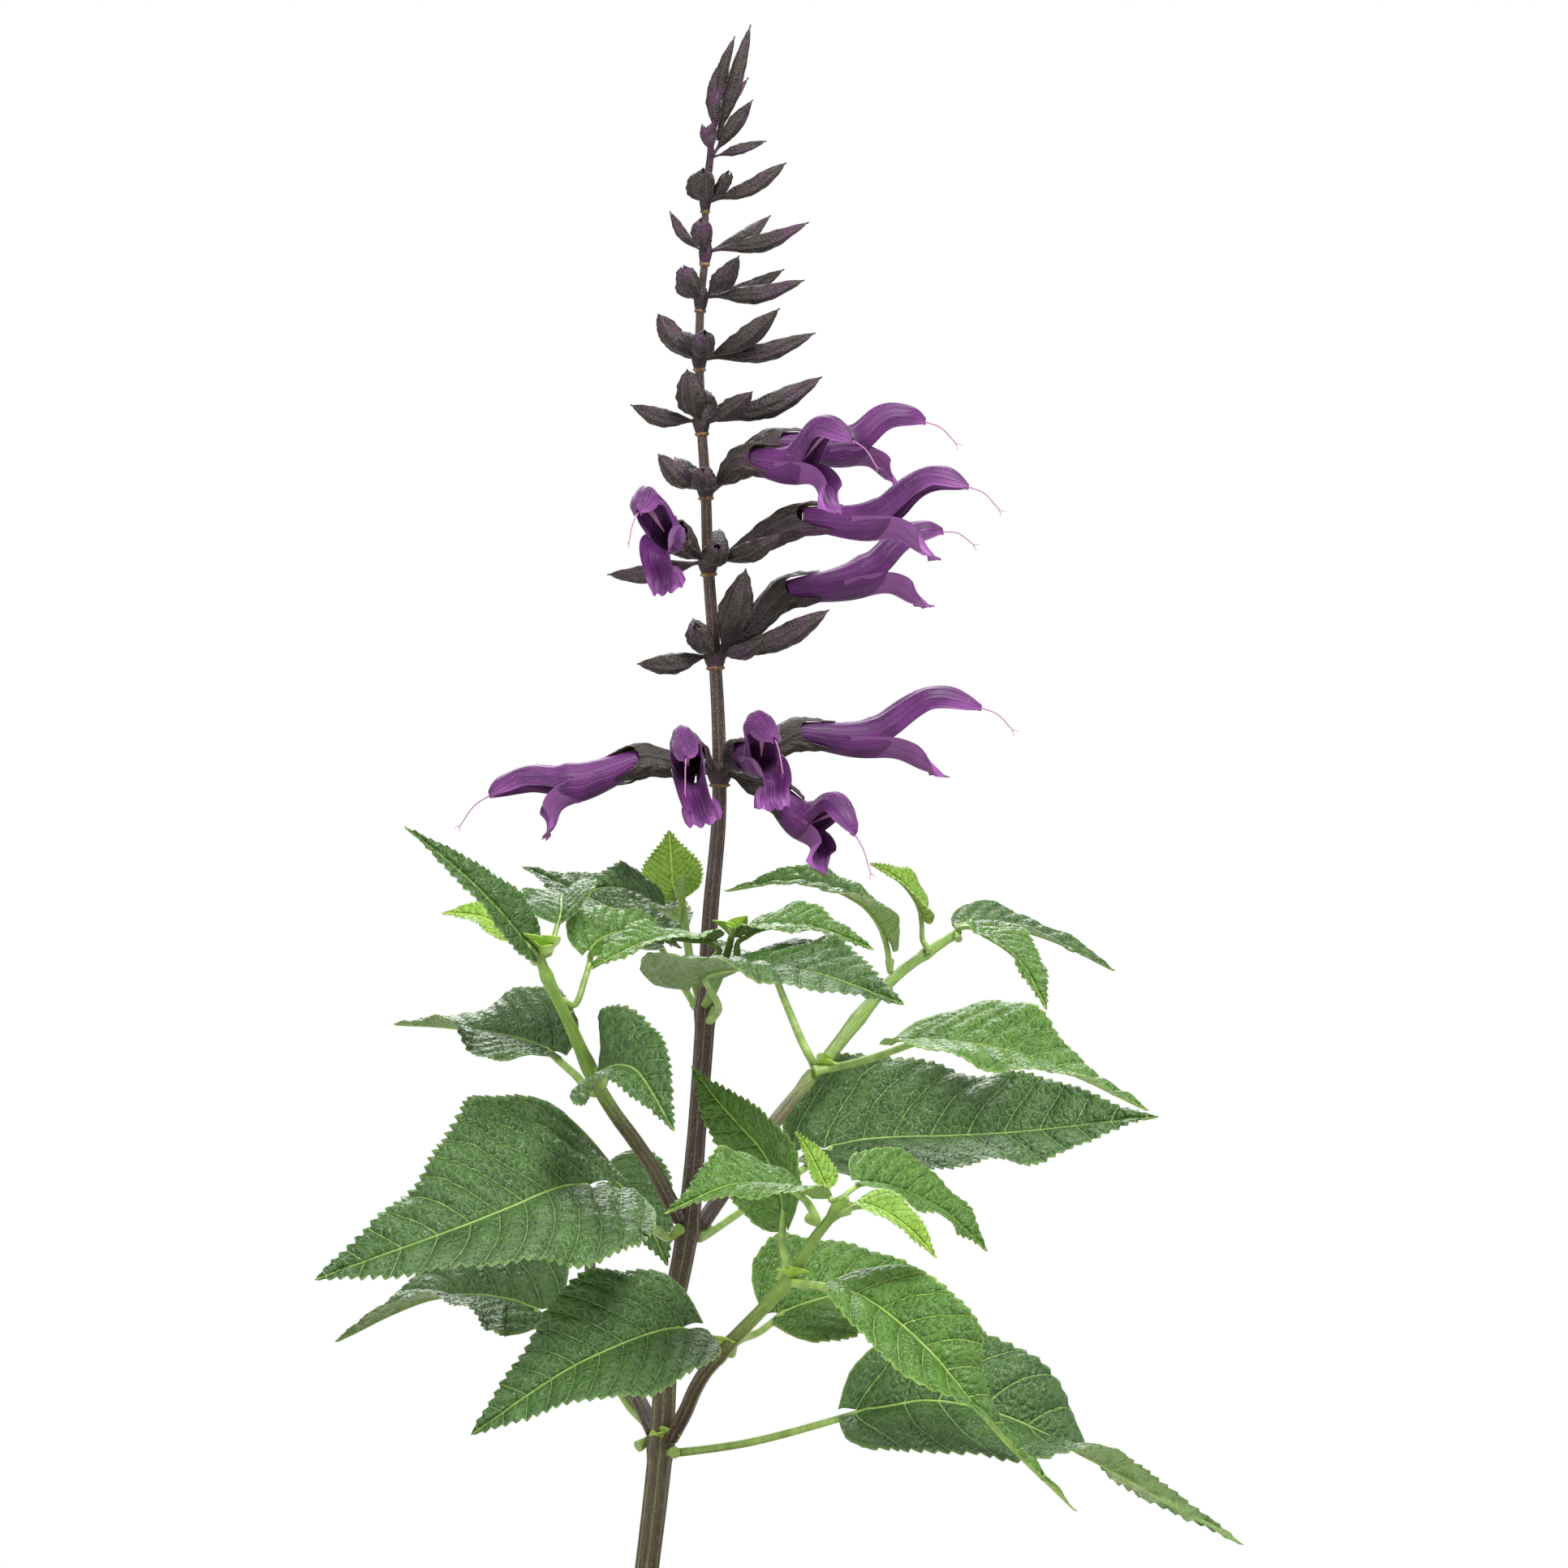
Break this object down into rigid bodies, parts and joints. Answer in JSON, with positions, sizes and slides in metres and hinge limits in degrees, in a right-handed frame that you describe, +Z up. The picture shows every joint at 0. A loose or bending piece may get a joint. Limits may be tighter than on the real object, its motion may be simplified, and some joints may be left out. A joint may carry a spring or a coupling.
{
  "type": "potted salvia",
  "caption": "flowering sage shoot with purple two-lipped flowers on a dark spike, toothed green leaves on side branches, rooted in soil in a plain round clay pot",
  "frame": {"origin": "centre of the pot's flat foot", "axes": "+Z up along the plant, +X to the right and +Y away from the viewer when the plant is seen from its front"},
  "size_m": [0.206, 0.1682, 0.4905],
  "materials": {
    "clay": "matt unglazed red clay with faint pale bloom",
    "soil": "matt dark potting compost, crumbly",
    "stem": "satin purple-brown square stem with fine pale hairs",
    "side_stem": "satin green stem, brown towards its foot",
    "leaf": "satin wrinkled green leaf with paler veins and underside",
    "young_leaf": "satin yellow-green young leaf with pale veins",
    "petal": "velvety violet-purple petal with darker veins",
    "calyx": "matt dark purple-grey ribbed calyx"
  },
  "bodies": {
    "root": {"branch_low_left": "side_stem", "branch_low_right": "side_stem", "branch_mid_left": "side_stem", "branch_mid_right": "side_stem", "calyx_whorl_1": "calyx", "calyx_whorl_2": "calyx", "calyx_whorl_3": "calyx", "calyx_whorl_4": "calyx", "calyx_whorl_5": "calyx", "calyx_whorl_6": "calyx", "calyx_whorl_7": "calyx", "calyx_whorl_8": "calyx", "calyx_whorl_9": "calyx", "corolla_low_front_left": "petal", "corolla_low_front_right": "petal", "corolla_low_left": "petal", "corolla_low_right": "petal", "corolla_low_under": "petal", "corolla_second_left": "petal", "corolla_second_right": "petal", "corolla_third_right": "petal", "corolla_upper_back": "petal", "corolla_upper_front": "petal", "leaf_branch1_back": "leaf", "leaf_branch1_front": "leaf", "leaf_branch1_left": "leaf", "leaf_branch1_right": "leaf", "leaf_branch1_top_left": "leaf", "leaf_branch2_back": "leaf", "leaf_branch2_right": "leaf", "leaf_branch2_top_left": "leaf", "leaf_branch2_top_right": "leaf", "leaf_branch3_left": "leaf", "leaf_branch3_right": "leaf", "leaf_branch3_top_left": "leaf", "leaf_branch3_top_right": "leaf", "leaf_high_back": "leaf", "leaf_high_front": "leaf", "leaf_low_left": "leaf", "leaf_low_left_tip": "young_leaf", "leaf_low_right": "leaf", "leaf_mid_left": "leaf", "leaf_mid_right": "leaf", "leaf_shoot_front_left": "young_leaf", "leaf_shoot_front_right": "young_leaf", "leaf_shoot_left": "young_leaf", "leaf_shoot_up": "young_leaf", "leaf_tip1_front": "young_leaf", "leaf_tip1_right": "young_leaf", "leaf_tip1_up": "young_leaf", "leaf_tip2_right": "young_leaf", "leaf_tip2_up": "young_leaf", "leaf_tip3_left": "young_leaf", "leaf_tip3_right": "young_leaf", "main_stem": "stem", "pot": "clay", "shoot_high_back": "side_stem", "shoot_high_front": "side_stem", "soil": "soil", "tip_buds": "calyx"}
  },
  "joints": []
}
